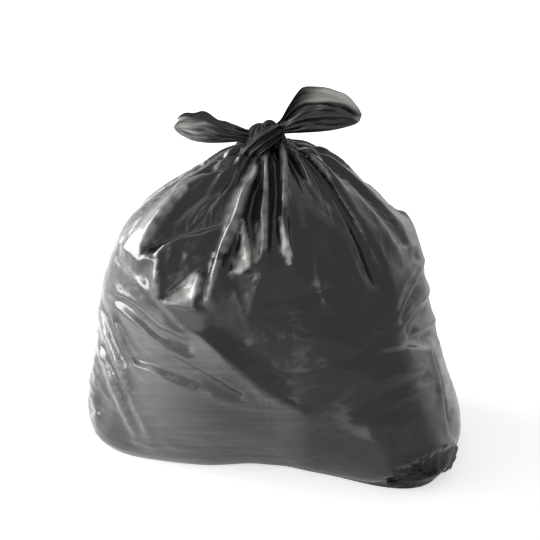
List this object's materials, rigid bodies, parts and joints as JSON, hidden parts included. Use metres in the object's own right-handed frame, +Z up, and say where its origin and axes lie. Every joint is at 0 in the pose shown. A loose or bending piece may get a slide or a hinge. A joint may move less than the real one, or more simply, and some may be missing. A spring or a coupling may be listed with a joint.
{
  "type": "tied bin bag",
  "caption": "Filled household refuse sack of thin black film, its mouth gathered into pleats and tied in a knot with an ear on each side, sitting on its base.",
  "frame": {"origin": "on the floor, under the middle of the sack's box", "axes": "+Z up through the knot, +X towards the larger, open ear, +Y away from the side that shows the sealed corner"},
  "size_m": [0.5226, 0.3933, 0.5089],
  "materials": {
    "film": "thin blown polyethylene film, black, glossy and creased, slightly see-through where one layer stands off"
  },
  "bodies": {
    "root": {"bag": "film"}
  },
  "joints": []
}
